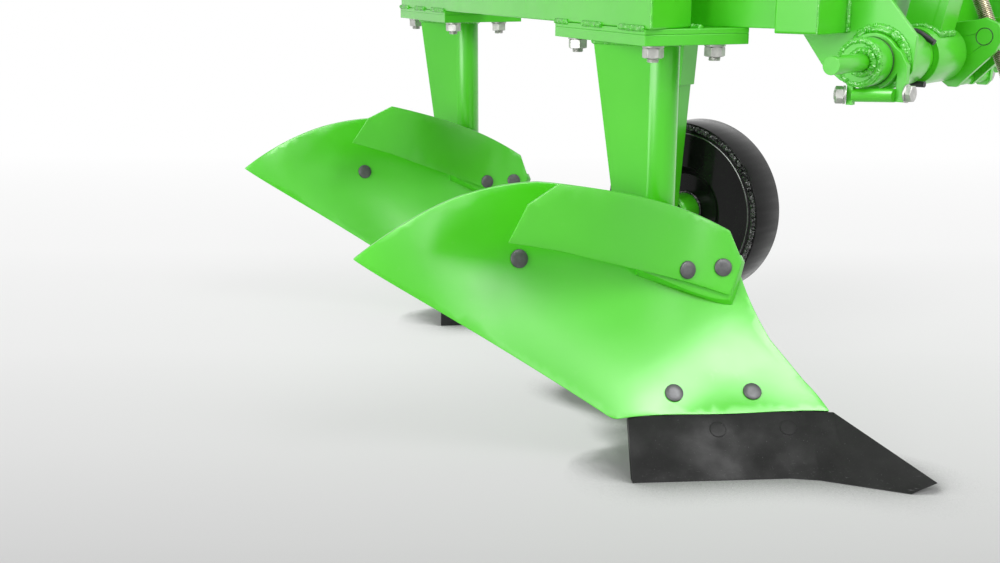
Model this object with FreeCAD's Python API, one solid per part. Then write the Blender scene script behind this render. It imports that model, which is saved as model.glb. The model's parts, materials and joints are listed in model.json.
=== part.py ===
"""Two-furrow mounted plough with a mast, a turning cross shaft and a depth wheel.

Millimetres. +X is the direction of travel, +Y the machine's left, +Z up, and the plough stands on
its shares and landsides at z = 0. The origin is under the middle of its plan.
Places are written as f, l, z: forward and left of the front beam plate's right front corner,
and up from the ground. Each solid goes to parts/NODE.step.
"""
import FreeCAD, Part
import math
import os

V = FreeCAD.Vector

# The datum corner in the part's own frame.
DATUM_X = 298.57
DATUM_Y = -301.39

# Plough bodies: the second stands behind and to the left of the first, one furrow width over.
BODY_OFFSETS = {"front": (0, 0), "rear": (-700, 350)}
LANDSIDE_L = 185                 # furrow wall plane of the front body

# Main beam, a square tube that runs back and to the left at a slope of one in two.
BEAM_SLOPE = 0.5
BEAM_SIZE = 80
BEAM_BOTTOM = 575
BEAM_FRONT_F = 14
BEAM_REAR_F = -945

# Headstock.
HITCH_L = 482                    # the tractor's centre line
TUBE_TOP = 653
CROSS_TUBE_F = (117, 177)
CROSS_TUBE_L = 112
CROSS_TUBE_BOTTOM = 570
RAIL_L = (129, 209)
BRACE_FRONT_L = 560
BRACE_REAR = (-480, 315)
BRACE_SIZE = 60

# Beam plates, bolted face to face over each leg.
PLATE_LENGTH = 280               # along the beam
PLATE_WIDTH = 152                # square to it
BEAM_PLATE_T = 7
LEG_PLATE_T = 14

# Legs.
LEG_TOP = BEAM_BOTTOM - BEAM_PLATE_T - LEG_PLATE_T
LEG_L = 100
LEG_WIDTH = 50
LEG_NOSE_F = -19
LEG_TOP_REAR_F = -140
LEG_BOTTOM = 60
LEG_BOTTOM_REAR_F = -52

# Share, mouldboard and deflector are laid out along the cutting edge.
# a runs along the edge to the left rear to right front, b square to it and back, z up.
EDGE_F = 0.692
EDGE_L = 0.7217
EDGE_B = 83.8                    # b of the datum corner
SHARE_TOP = 67
SHARE_T = 10
BOARD_T = 8
DEFLECTOR_T = 6
FIT_GAP = 0.5                    # left between pieces that are bolted face to face

# Cross shaft with the lower hitch pins set off its axis.
SHAFT_F = 220
SHAFT_Z = 537
SHAFT_R = 30
SHAFT_END_L = 141
SHAFT_GROOVE = (172.5, 176)      # turned recess in front of the keeper collar
SHAFT_GROOVE_R = 25
SHAFT_GAP = 0.08                 # radial running clearance
PIN_R = 11
PIN_END_L = 61
PIN_OFFSET = (5, 1)
COLLAR_L = (176, 185)            # keeper collar, which turns with the shaft
COLLAR_R = 35
TAIL_F = (254.5, 267)            # bar that hangs from the collar
TAIL_LOW = 489
BEARING_R = 35
BEARING_L = (185.5, 272)
CHEEK_L = (190, 197)
MAST_SLEEVE_R = 38
MAST_SLEEVE_L = (291, 380)
RING_L = 281
RING_R = 34                      # to the middle of the bar
RING_BAR_R = 4
TIE_R = 8.5                      # spacer tubes of the tie bolts
TIE_Z = 497

# Lever on the cross shaft and its adjusting screw.
TRUNNION_F = 275
TRUNNION_Z = 561
TRUNNION_R = 11
EAR_L = (392, 446)
EAR_T = 8
LEVER_TIE_L = 498
SCREW_R = 10
SCREW_LEAN = 25                  # degrees from upright, back towards the mast
SCREW_L = 423
SCREW_LOW = -60                  # along the screw, from the trunnion
SCREW_COLLAR = 330
SCREW_HIGH = 395
CRANK_THROW = 95
CRANK_ARM_R = 9
CRANK_GRIP_R = 11

# Mast.
POST_FOOT = (220, 337, 566)
POST_TOP = (257, 414, 905)
POST_SIZE = (52, 46)               # fore and aft, across
TOP_LINK_Z = 1000
TOP_LINK_F = 268
TOP_LINK_R = 9.6                 # 19 mm top link pin, running
HEAD_L = (444, 456)
STAY_DEPTH = 44
STAY_T = 10

# Depth wheel.
WHEEL_R = 157
WHEEL_L = (524, 600)
WHEEL_F = -289
WHEEL_Z = 232
WHEEL_SHEET = 8
HUB_R = 30
HUB_L = (497, 580)
AXLE_R = 15
STEM_LEAN = 4.6                  # degrees from upright, foot to the rear
STEM_L = 474.5
STEM_SIZE = 35
SLEEVE_SIZE = 42
SLEEVE_LOW = 230                 # along the stem, from the axle
SLEEVE_HIGH = 585
STEM_HIGH = 395
SLIDING_GAP = 0.3


def at(f, l, z):
    """The point f forward, l left and z up from the datum corner on the ground."""
    return V(f + DATUM_X, l + DATUM_Y, z)


def edge_point(a, b, z):
    """A point given along the cutting edge, square to it, and up."""
    back = b - EDGE_B
    return at(a * EDGE_F - back * EDGE_L, a * EDGE_L + back * EDGE_F, z)


BACK = edge_point(0, 1, 0) - edge_point(0, 0, 0)      # square to the cutting edge


def face(points):
    return Part.Face(Part.makePolygon(points + points[:1]))


def prism(points, direction):
    return face(points).extrude(direction)


def plan(outline, low, high):
    """A block with a plan outline of f, l points between two heights."""
    return prism([at(f, l, low) for f, l in outline], V(0, 0, high - low))


def side(outline, near, far):
    """A plate with a side outline of f, z points between two distances to the left."""
    return prism([at(f, near, z) for f, z in outline], V(0, far - near, 0))


def box(f, l, z):
    """A block between pairs of f, l and z."""
    corners = [(f[0], l[0]), (f[1], l[0]), (f[1], l[1]), (f[0], l[1])]
    return plan(corners, z[0], z[1])


def crosswise(radius, f, z, l):
    """A round bar that lies across the machine between two distances to the left."""
    return Part.makeCylinder(radius, l[1] - l[0], at(f, l[0], z), V(0, 1, 0))


def bar(start, end, radius):
    return Part.makeCylinder(radius, (end - start).Length, start, end - start)


def square_bar(start, end, depth, width):
    """A bar of depth (fore and aft) by width (across) between two points."""
    corners = [(-1, -1), (1, -1), (1, 1), (-1, 1)]
    ends = []
    for middle in (start, end):
        ring = [middle + V(i * depth / 2, j * width / 2, 0) for i, j in corners]
        ends.append(Part.makePolygon(ring + ring[:1]))
    return Part.makeLoft(ends, True, True)


def arc_wire(points, closed=True):
    """Straight edges through the points; a point in a list is the middle of an arc."""
    edges = []
    start = points[0]
    middle = None
    rest = points[1:] + ([points[0]] if closed else [])
    for point in rest:
        if isinstance(point, list):
            middle = point[0]
            continue
        if middle is None:
            edges.append(Part.LineSegment(start, point).toShape())
        else:
            edges.append(Part.Arc(start, middle, point).toShape())
        start = point
        middle = None
    return Part.Wire(edges)


def mirrored(shape):
    """The same shape on the other side of the tractor's centre line."""
    return shape.mirror(at(0, HITCH_L, 0), V(0, 1, 0))


def save(name, *shapes):
    shape = shapes[0] if len(shapes) == 1 else Part.makeCompound(list(shapes))
    shape.exportStep(f"parts/{name}.step")


def beam_point(along, across):
    """A point of the beam's plan: along its right face from the datum, and square to it."""
    slope = math.hypot(1, BEAM_SLOPE)
    back = (-1 / slope, BEAM_SLOPE / slope)
    return along * back[0] - across * -BEAM_SLOPE / slope, along * back[1] + across / slope


def beam_side(f, across):
    """The f, l point of the beam's side at a given f."""
    f0, l0 = beam_point(0, across)
    return f, l0 + (f0 - f) * BEAM_SLOPE


# ---------------------------------------------------------------- frame

def frame_tubes():
    rear_length = -BEAM_REAR_F * math.hypot(1, BEAM_SLOPE)
    beam = plan([beam_side(BEAM_FRONT_F, 0), beam_side(BEAM_FRONT_F, BEAM_SIZE),
                 beam_point(rear_length, BEAM_SIZE), beam_point(rear_length, 0)],
                BEAM_BOTTOM, BEAM_BOTTOM + BEAM_SIZE)
    save("main_beam", beam)

    left_end = 2 * HITCH_L - CROSS_TUBE_L
    save("cross_tube", box(CROSS_TUBE_F, (CROSS_TUBE_L, left_end), (CROSS_TUBE_BOTTOM, TUBE_TOP)))

    f_right = beam_side(0, BEAM_SIZE)[1] / BEAM_SLOPE - RAIL_L[0] / BEAM_SLOPE
    f_left = beam_side(0, BEAM_SIZE)[1] / BEAM_SLOPE - RAIL_L[1] / BEAM_SLOPE
    front = CROSS_TUBE_F[0]
    save("side_rail", plan([(front, RAIL_L[0]), (front, RAIL_L[1]), (f_left, RAIL_L[1]),
                            (f_right, RAIL_L[0])], BEAM_BOTTOM, TUBE_TOP))

    back = (BRACE_REAR[0] - front, BRACE_REAR[1] - BRACE_FRONT_L)
    slope = back[1] / back[0]
    half = BRACE_SIZE / 2 * math.hypot(1, slope)

    def brace_l(f, offset):
        return BRACE_FRONT_L + (f - front) * slope + offset

    def meets_beam(offset):
        l_beam = beam_side(0, BEAM_SIZE)[1]
        f = (l_beam - brace_l(0, offset)) / (slope + BEAM_SLOPE)
        return f, brace_l(f, offset)

    brace = plan([(front, brace_l(front, -half)), (front, brace_l(front, half)),
                   meets_beam(half), meets_beam(-half)], BEAM_BOTTOM, BEAM_BOTTOM + BRACE_SIZE)
    save("left_brace", brace)
    return brace


def beam_plates():
    for name, (df, dl) in BODY_OFFSETS.items():
        corners = [beam_point(0, 0), beam_point(PLATE_LENGTH, 0),
                   beam_point(PLATE_LENGTH, PLATE_WIDTH), beam_point(0, PLATE_WIDTH)]
        outline = [(f + df, l + dl) for f, l in corners]
        save(f"{name}_beam_plate", plan(outline, BEAM_BOTTOM - BEAM_PLATE_T, BEAM_BOTTOM))
        save(f"{name}_leg_plate", plan(outline, LEG_TOP, BEAM_BOTTOM - BEAM_PLATE_T))


# ---------------------------------------------------------------- plough bodies

def leg():
    """A folded leg: flat sides, a half-round nose to the front, tapered from behind."""
    r = LEG_WIDTH / 2
    sections = []
    for z, rear in ((LEG_BOTTOM, LEG_BOTTOM_REAR_F), (LEG_TOP, LEG_TOP_REAR_F)):
        nose = LEG_NOSE_F - r
        sections.append(arc_wire([at(nose, LEG_L - r, z), [at(LEG_NOSE_F, LEG_L, z)],
                                  at(nose, LEG_L + r, z), at(rear, LEG_L + r, z),
                                  at(rear, LEG_L - r, z)]))
    return Part.makeLoft(sections, True, True)


def share():
    """Ruled blade: columns a, b and z of its edge on the ground, then of its top edge."""
    drop = BACK * SHARE_T * math.sqrt(2)
    rows = [((-15.2, 0, 0), (-11.6, SHARE_TOP, SHARE_TOP)),
            ((194, 0, 0), (194, 70, SHARE_TOP)),
            ((231, -9, 0), (233, 70, SHARE_TOP)),
            ((265, -26, 0), (269, 64, SHARE_TOP)),
            ((333, -60, 0), (371, -50, 10))]
    sections = []
    for low, high in rows:
        bottom = edge_point(*low)
        top = edge_point(*high)
        slope = (top - bottom).normalize() * SHARE_T
        ring = [bottom, top, top + drop - slope, bottom + drop]
        sections.append(Part.makePolygon(ring + ring[:1]))
    return Part.makeLoft(sections, True, True)


# Sections of the mouldboard square to the cutting edge: a, then b and z of three points.
BOARD_SECTIONS = [
    (-385, (24, 262), (38, 295), (49, 330)),
    (-228, (38, 170), (85, 285), (108, 385)),
    (-130, (48, 118), (122, 262), (133, 392)),
    (13, (58, 56), (134, 185), (148, 385)),
    (82, (54, 56), (148, 170), (175, 350)),
    (152, (52, 56), (157, 170), (191, 330)),
    (300, (28, 56), (153, 170), (191, 330)),
]


def board_loft(near, far):
    """The sheet between two distances behind the mouldboard's face, before it is trimmed."""
    sections = []
    for a, *heights in BOARD_SECTIONS:
        points = [edge_point(a, b, z) for b, z in heights]
        centre = Part.Arc(*points).toShape().Curve.Center
        radius = (points[0] - centre).Length
        front, back = [[centre + (point - centre) * ((radius + step) / radius) for point in points]
                       for step in (near, far)]
        sections.append(arc_wire([front[0], [front[1]], front[2], back[2], [back[1]], back[0]]))
    return Part.makeLoft(sections, True, False)


# Outline of the mouldboard seen square to the cutting edge: a, z.
BOARD_OUTLINE = [(-33, SHARE_TOP), (-370, 296), [(-310, 334)], (-228, 364), [(-180, 372)],
                 (-130, 375), [(25, 342)], (152, 286), [(175, 200)], (200, 147), (240, 98),
                 [(254, 83)], (265, SHARE_TOP)]


def mouldboard():
    return board_loft(0, BOARD_T).common(cutter(BOARD_OUTLINE))


def cutter(outline):
    """A prism through the body, square to the cutting edge, from an outline of a, z points."""
    low_b, high_b = -60, 260

    def place(point):
        if isinstance(point, list):
            return [place(point[0])]
        return edge_point(point[0], low_b, point[1])

    wire = arc_wire([place(point) for point in outline])
    return Part.Face(wire).extrude(edge_point(0, high_b, 0) - edge_point(0, low_b, 0))


# Deflector sections: a, b at mid height, and the lean of the plate in b for each mm up.
DEFLECTOR_SECTIONS = [(-190, -9, 0), (-107, 42, 0), (35, 128, 0.08), (82, 152, 0.18),
                      (180, 167, 0.22)]
DEFLECTOR_MID_Z = 244


def deflector_shell(rows, near, far):
    low, high = 180, 410
    sections = []
    for a, b, lean in rows:
        def b_at(z):
            return b + lean * (z - DEFLECTOR_MID_Z)
        ring = [edge_point(a, b_at(low) + near, low), edge_point(a, b_at(high) + near, high),
                edge_point(a, b_at(high) + far, high), edge_point(a, b_at(low) + far, low)]
        sections.append(Part.makePolygon(ring + ring[:1]))
    return Part.makeLoft(sections, True, False)


# Seen square to the cutting edge: a, z.
DEFLECTOR_OUTLINE = [(-178, 322), (-152, 366), (-111, 388), [(14, 354)], (146, 295), (163, 254),
                     (145, 207), (8, 257), (-107, 301)]
# The spacer fills the wedge behind the deflector and spreads towards the board. Each outline lies
# on a sloping plane, given as b at a = z = 0, then b for each mm of a and of z.
SPACER_FRONT_PLANE = (73.4, 0.375, 0.159)
SPACER_FRONT = [(8, 257), (145, 207), (163, 254), (161, 260), (8, 276)]
SPACER_BACK_PLANE = (106.0, 0.209, 0.169)
SPACER_BACK = [(9, 241), (152, 187), (170, 249), (165, 259), (8, 290)]
DEFLECTOR_BOLT = (130, 245)      # a, z of the bolt that a deflector turns about when it is set
DEFLECTOR_TURN = {"front": 0, "rear": 4.4}


def turned(outline, degrees):
    """An outline turned about the deflector's bolt, its outer end upwards."""
    c, s = math.cos(math.radians(degrees)), math.sin(math.radians(degrees))
    a0, z0 = DEFLECTOR_BOLT

    def place(point):
        if isinstance(point, list):
            return [place(point[0])]
        a, z = point[0] - a0, point[1] - z0
        return a0 + a * c + z * s, z0 - a * s + z * c

    return [place(point) for point in outline]


def deflector(board, degrees):
    room = cutter(turned(DEFLECTOR_OUTLINE, degrees))
    return deflector_shell(DEFLECTOR_SECTIONS, 0, DEFLECTOR_T).common(room).cut(board)


def deflector_spacer(board, plate, degrees):
    rings = []
    for (b0, by_a, by_z), outline in ((SPACER_FRONT_PLANE, SPACER_FRONT),
                                      (SPACER_BACK_PLANE, SPACER_BACK)):
        ring = [edge_point(a, b0 + by_a * a + by_z * z, z) for a, z in turned(outline, degrees)]
        rings.append(Part.makePolygon(ring + ring[:1]))
    block = Part.makeLoft(rings, True, True)
    spacer = block.cut([board, plate, deflector_shell(DEFLECTOR_SECTIONS, -40, DEFLECTOR_T)])
    return max(spacer.Solids, key=lambda solid: solid.Volume)


def landside():
    return side([(-240, 0), (190, 0), (160, 56), (112, 92), (-240, 92)],
                LANDSIDE_L - 8, LANDSIDE_L)


def frog():
    """The base that the leg, share, mouldboard and landside are all bolted to."""
    cheek = side([(-150, 8), (186, 8), (152, 56), (100, 96), (38, 150), (0, 216),
                  (-70, 216), (-150, 96)], LANDSIDE_L - 20, LANDSIDE_L - 8)
    drop = SHARE_T * math.sqrt(2)
    under = [(10 + drop, 10), (64 + drop, 64), (118 + drop, 118), (132 + drop, 110),
             (24 + drop, 2)]
    sole = prism([edge_point(20, b, z) for b, z in under],
                 edge_point(188, 0, 0) - edge_point(0, 0, 0))
    web = side([(-60, 30), (60, 30), (52, 90), (8, 170), (-12, 230), (-60, 230)],
               LEG_L - 8, LEG_L + 8)
    tie = box((-56, -20), (LEG_L + LEG_WIDTH / 2, LANDSIDE_L - 20), (70, 200))
    return cheek.fuse([sole, tie, web]).cut([landside(), leg(), share()])


def board_stay():
    start = at(-95, LEG_L - LEG_WIDTH / 2 - 2, 300)
    end = edge_point(-154, 152, 272)
    rod = bar(start, end, 11)
    pad = prism([edge_point(-154 + i, 139, 272 + j) for i, j in
                 ((-25, -25), (25, -25), (25, 25), (-25, 25))],
                edge_point(0, 14, 0) - edge_point(0, 0, 0))
    return rod.fuse(pad)


def plough_bodies():
    board = mouldboard()
    pieces = {"leg": leg(), "share": share(), "mouldboard": board, "landside": landside(),
              "frog": frog(), "board_stay": board_stay()}
    room = board_loft(-90, BOARD_T + FIT_GAP)
    for piece in ("frog", "board_stay"):
        pieces[piece] = pieces[piece].cut(room)
    pieces["leg"] = pieces["leg"].cut(room.common(cutter(BOARD_OUTLINE)))
    for name, (df, dl) in BODY_OFFSETS.items():
        degrees = DEFLECTOR_TURN[name]
        plate = deflector(board, degrees)
        pieces["deflector"] = plate
        pieces["deflector_spacer"] = deflector_spacer(board, plate, degrees)
        for piece, shape in pieces.items():
            save(f"{name}_{piece}", shape.translated(V(df, dl, 0)))


# ---------------------------------------------------------------- headstock

def mast_post():
    return square_bar(at(*POST_FOOT), at(*POST_TOP), *POST_SIZE)


def headstock():
    hole = crosswise(SHAFT_R + SHAFT_GAP, SHAFT_F, SHAFT_Z, (0, 2 * HITCH_L))

    bearing = crosswise(BEARING_R, SHAFT_F, SHAFT_Z, BEARING_L)
    rear, front = CROSS_TUBE_F
    outline = [(rear - 4, CROSS_TUBE_BOTTOM), (145, 529), (172, 510), (205, 500), (235, 500),
               (258, 510), (268, 526), (270, 569), (233, 612), (197, TUBE_TOP),
               (front, TUBE_TOP), (front, CROSS_TUBE_BOTTOM)]
    cheek = side(outline, *CHEEK_L).cut(bearing)
    bearing = bearing.cut(hole)
    for name, place in (("right", lambda s: s), ("left", mirrored)):
        save(f"{name}_cheek", place(cheek))
        save(f"{name}_bearing", place(bearing))

    sleeve = crosswise(MAST_SLEEVE_R, SHAFT_F, SHAFT_Z, MAST_SLEEVE_L)
    post = mast_post().cut(sleeve)
    sleeve = sleeve.cut(hole)
    save("mast_sleeves", sleeve, mirrored(sleeve))
    save("right_mast_post", post)
    save("left_mast_post", mirrored(post))

    bridge_l = POST_TOP[1] - POST_SIZE[1] / 2
    bridge_z = POST_TOP[2] + 12
    save("mast_bridge", box((POST_TOP[0] - 28, POST_TOP[0] + 34), (bridge_l, 2 * HITCH_L - bridge_l),
                            (POST_TOP[2], bridge_z)))
    top = TOP_LINK_Z + 30
    head = side([(236, bridge_z), (290, bridge_z), (294, top), (244, top)], *HEAD_L)
    for z in (TOP_LINK_Z, TOP_LINK_Z - 70):
        head = head.cut(crosswise(TOP_LINK_R, TOP_LINK_F, z, (0, 2 * HITCH_L)))
    save("mast_head", head, mirrored(head))


def stays():
    """Flat stays from the mast's top back to the beam and the brace: name, foot, top, post."""
    rows = [("right_stay", (-300, 188, 655), (210, 408, 880), mast_post()),
            ("left_stay", (-190, 440, 635), (210, 556, 880), mirrored(mast_post()))]
    for name, foot, top, post in rows:
        save(name, square_bar(at(*foot), at(*top), STAY_DEPTH, STAY_T).cut(post))


def crank(hub, elbow, axis):
    """A hand crank: an arm from the hub to the elbow, and a grip that stands along the axis."""
    return bar(hub, elbow, CRANK_ARM_R).fuse(bar(elbow, elbow + axis * 85, CRANK_GRIP_R))


def adjusting_screw():
    lean = math.radians(SCREW_LEAN)
    axis = V(-math.sin(lean), 0, math.cos(lean))
    trunnion = at(TRUNNION_F, SCREW_L, TRUNNION_Z)
    low, collar, high = [trunnion + axis * way for way in (SCREW_LOW, SCREW_COLLAR, SCREW_HIGH)]
    screw = bar(low, high, SCREW_R).fuse(bar(collar, collar + axis * 22, 20))
    save("adjusting_screw", screw)
    save("screw_crank", crank(high, high + V(0, CRANK_THROW, 0), axis).cut(screw))

    bracket_z = collar.z - 24
    bracket = box((collar.x - DATUM_X - 30, 240), (SCREW_L - 21, SCREW_L + 21),
                  (bracket_z, bracket_z + 12))
    save("screw_bracket", bracket.cut([bar(low, high, SCREW_R + 1), mast_post()]))


# ---------------------------------------------------------------- cross shaft

def cross_shaft():
    left_end = 2 * HITCH_L - SHAFT_END_L
    groove = crosswise(SHAFT_R + 1, SHAFT_F, SHAFT_Z, SHAFT_GROOVE)
    groove = groove.cut(crosswise(SHAFT_GROOVE_R, SHAFT_F, SHAFT_Z, SHAFT_GROOVE))
    shaft = crosswise(SHAFT_R, SHAFT_F, SHAFT_Z, (SHAFT_END_L, left_end))
    save("cross_shaft", shaft.cut([groove, mirrored(groove)]))

    pin_f = SHAFT_F + PIN_OFFSET[0]
    pin_z = SHAFT_Z + PIN_OFFSET[1]
    pin = crosswise(PIN_R, pin_f, pin_z, (PIN_END_L, SHAFT_END_L))
    linch = bar(at(pin_f, PIN_END_L + 12, pin_z - 20), at(pin_f, PIN_END_L + 12, pin_z + 20), 5)
    pin = pin.cut(linch)
    save("hitch_pins", pin, mirrored(pin))

    shaft = crosswise(SHAFT_R, SHAFT_F, SHAFT_Z, (0, 2 * HITCH_L))
    collar = crosswise(COLLAR_R, SHAFT_F, SHAFT_Z, COLLAR_L)
    rear, front = TAIL_F
    tail = side([(244, 560), (258, 550), (front, 534), (front, TAIL_LOW), (rear, TAIL_LOW),
                 (rear, 524), (246, 512)], *COLLAR_L)
    collar = collar.fuse(tail).cut(shaft)
    save("keeper_collars", collar, mirrored(collar))

    lug = box((207, 215), (SHAFT_END_L, SHAFT_END_L + 8), (TIE_Z - 12, SHAFT_Z))
    tube = bar(at(210, SHAFT_END_L + 4, TIE_Z), at(262, COLLAR_L[0] + 4, TIE_Z), TIE_R)
    beyond = box((TAIL_F[0], 300), (SHAFT_END_L, 200), (TIE_Z - 20, TIE_Z + 20))
    tie = lug.fuse(tube.cut(beyond)).cut([shaft, collar])
    save("keeper_ties", tie, mirrored(tie))

    ring = retaining_ring()
    save("retaining_rings", ring, mirrored(ring))

    ears = []
    for l in EAR_L:
        outline = [(TRUNNION_F - 12, TRUNNION_Z + 22), (TRUNNION_F, TRUNNION_Z + 25),
                   (TRUNNION_F + 18, TRUNNION_Z + 17), (TRUNNION_F + 25, TRUNNION_Z),
                   (TRUNNION_F + 16, TRUNNION_Z - 20), (243, 492), (231, 492), (190, 520),
                   (188, 548), (210, 575)]
        ears.append(side(outline, l, l + EAR_T).cut(shaft))
    eye = crosswise(TRUNNION_R + SHAFT_GAP, TRUNNION_F, TRUNNION_Z, (EAR_L[0], EAR_L[1] + EAR_T))
    save("lever_ears", *[ear.cut(eye) for ear in ears])

    lug = side([(225, SHAFT_Z), (225, 492), (231, 488), (243, 488), (248, 494), (250, SHAFT_Z)],
               LEVER_TIE_L, LEVER_TIE_L + EAR_T)
    inner = crosswise(TIE_R, 237, 501, (EAR_L[0] + EAR_T, EAR_L[1]))
    outer = crosswise(TIE_R, 237, 501, (EAR_L[1] + EAR_T, LEVER_TIE_L))
    save("lever_tie", inner.cut(shaft), outer.fuse(lug).cut(shaft))


def retaining_ring():
    """Round bar bent round the shaft from behind, with both ends left straight to the front."""
    def on_ring(degrees):
        turn = math.radians(degrees)
        return at(SHAFT_F + RING_R * math.cos(turn), RING_L, SHAFT_Z + RING_R * math.sin(turn))

    opening = 60
    lean = math.radians(opening)
    start = on_ring(opening)
    tip = start + V(math.sin(lean), 0, -math.cos(lean)) * 20
    end = on_ring(270)
    path = Part.Wire([Part.LineSegment(tip, start).toShape(),
                      Part.Arc(start, on_ring(165), end).toShape(),
                      Part.LineSegment(end, end + V(26, 0, 0)).toShape()])
    section = Part.Wire(Part.Circle(tip, start - tip, RING_BAR_R).toShape())
    return path.makePipeShell([section], True, False)


def trunnion():
    pin = crosswise(TRUNNION_R, TRUNNION_F, TRUNNION_Z, (EAR_L[0], EAR_L[1] + EAR_T))
    block = box((TRUNNION_F - 18, TRUNNION_F + 18), (EAR_L[0] + EAR_T + 1, EAR_L[1] - 1),
                (TRUNNION_Z - 18, TRUNNION_Z + 18))
    lean = math.radians(SCREW_LEAN)
    axis = V(-math.sin(lean), 0, math.cos(lean))
    centre = at(TRUNNION_F, SCREW_L, TRUNNION_Z)
    bore = bar(centre - axis * 60, centre + axis * 60, SCREW_R + 3)
    save("trunnion", block.fuse(pin).cut(bore))


# ---------------------------------------------------------------- depth wheel

def stem_point(along, f=0, l=0):
    """A point of the wheel's stem, measured up along it from the axle."""
    lean = math.radians(STEM_LEAN)
    return at(WHEEL_F + along * math.sin(lean) + f * math.cos(lean), STEM_L + l,
              WHEEL_Z + along * math.cos(lean) - f * math.sin(lean))


def stem_block(size, low, high):
    half = size / 2
    ring = [stem_point(low, i * half, j * half) for i, j in ((-1, -1), (1, -1), (1, 1), (-1, 1))]
    return prism(ring, stem_point(high) - stem_point(low))


def wheel_band():
    """Rolled rim with a dished disc at its near edge, as a profile of radius and l."""
    near, far = WHEEL_L
    inner = WHEEL_R - WHEEL_SHEET
    disc = near + WHEEL_SHEET
    dish = 72
    profile = [(HUB_R, near + 20), (dish - 8, near + 20), (dish + 8, near + 2), (inner, near + 2),
               (inner, near), (WHEEL_R, near), (WHEEL_R, far), (inner, far), (inner, disc + 2),
               (dish + 12, disc + 2), (dish - 4, disc + 20), (HUB_R, disc + 20)]
    outline = face([at(WHEEL_F + r, l, WHEEL_Z) for r, l in profile])
    return outline.revolve(at(WHEEL_F, 0, WHEEL_Z), V(0, 1, 0), 360)


def depth_wheel(brace):
    save("depth_wheel", wheel_band())
    bore = crosswise(AXLE_R + SHAFT_GAP, WHEEL_F, WHEEL_Z, HUB_L)
    save("wheel_hub", crosswise(HUB_R, WHEEL_F, WHEEL_Z, HUB_L).cut(bore))

    axle = crosswise(AXLE_R, WHEEL_F, WHEEL_Z, (STEM_L + STEM_SIZE / 2, HUB_L[1] + 1))
    washer = crosswise(23, WHEEL_F, WHEEL_Z, (HUB_L[1] + 1, HUB_L[1] + 5))
    nut = crosswise(18, WHEEL_F, WHEEL_Z, (HUB_L[1] + 5, HUB_L[1] + 17))
    save("wheel_axle", axle.fuse([washer, nut]))
    save("wheel_stem", stem_block(STEM_SIZE, -24, STEM_HIGH))

    bore = STEM_SIZE + 2 * SLIDING_GAP
    sleeve = stem_block(SLEEVE_SIZE, SLEEVE_LOW, SLEEVE_HIGH)
    save("wheel_sleeve", sleeve.cut(stem_block(bore, SLEEVE_LOW - 5, SLEEVE_HIGH + 5)))
    save("wheel_sleeve_cap", stem_block(SLEEVE_SIZE + 8, SLEEVE_HIGH, SLEEVE_HIGH + 8))
    foot, hub = stem_point(SLEEVE_HIGH + 8), stem_point(SLEEVE_HIGH + 60)
    turned = crank(hub, hub + V(0, CRANK_THROW, 0), (hub - foot).normalize())
    save("wheel_crank", bar(foot, stem_point(SLEEVE_HIGH + 70), SCREW_R).fuse(turned))

    f = WHEEL_F + (BEAM_BOTTOM - WHEEL_Z) * math.tan(math.radians(STEM_LEAN))
    arm = box((f - 28, f + 30), (395, STEM_L), (BEAM_BOTTOM + 5, BEAM_BOTTOM + 55))
    save("wheel_arm", arm.cut([stem_block(SLEEVE_SIZE, SLEEVE_LOW, SLEEVE_HIGH), brace]))


def main():
    os.makedirs("parts", exist_ok=True)
    brace = frame_tubes()
    beam_plates()
    plough_bodies()
    headstock()
    stays()
    adjusting_screw()
    cross_shaft()
    trunnion()
    depth_wheel(brace)


main()
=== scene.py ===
# %% [markdown]
# # A two-furrow mounted plough, dressed
# The construction comes in ready made: beams, legs, boards, hitch and wheel are at their real
# size and place. This lesson gives them their finish, and adds what a welder and a fitter add:
# weld seams, bolts, nuts, a cut thread and the small rounded ends that catch the light.
# Everything is in metres. X points in the direction of travel, Y to the machine's left, Z up.

# %% Load the frame
import json
import math
import bpy
from mathutils import Matrix, Vector


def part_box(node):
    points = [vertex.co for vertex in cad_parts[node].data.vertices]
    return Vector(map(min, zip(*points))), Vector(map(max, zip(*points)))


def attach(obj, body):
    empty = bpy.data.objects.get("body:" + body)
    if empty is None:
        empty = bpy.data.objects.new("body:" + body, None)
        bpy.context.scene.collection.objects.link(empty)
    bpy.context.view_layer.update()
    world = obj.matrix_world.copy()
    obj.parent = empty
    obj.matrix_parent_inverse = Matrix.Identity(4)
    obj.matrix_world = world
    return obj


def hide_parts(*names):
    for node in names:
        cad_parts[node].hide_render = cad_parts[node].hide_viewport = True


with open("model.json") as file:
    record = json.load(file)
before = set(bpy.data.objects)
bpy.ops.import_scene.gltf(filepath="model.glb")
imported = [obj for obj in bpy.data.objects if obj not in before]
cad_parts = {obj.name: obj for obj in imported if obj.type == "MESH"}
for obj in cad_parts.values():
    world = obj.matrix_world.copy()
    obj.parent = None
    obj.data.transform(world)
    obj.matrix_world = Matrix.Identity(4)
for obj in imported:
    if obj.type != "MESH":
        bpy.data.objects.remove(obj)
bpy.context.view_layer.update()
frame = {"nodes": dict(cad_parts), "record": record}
NODES = frame["nodes"]
MM = 0.001

# %% [markdown]
# ## Where things are
# A plough is set out from two lines: the beam, which runs back and to the left at one in two, and
# the cutting edge of the share, which runs across at about 46 degrees. Each gets a small function
# that turns workshop measures in millimetres into a point in space. Both start from the right
# front corner of the front leg plate, which the box of that node gives.

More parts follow.
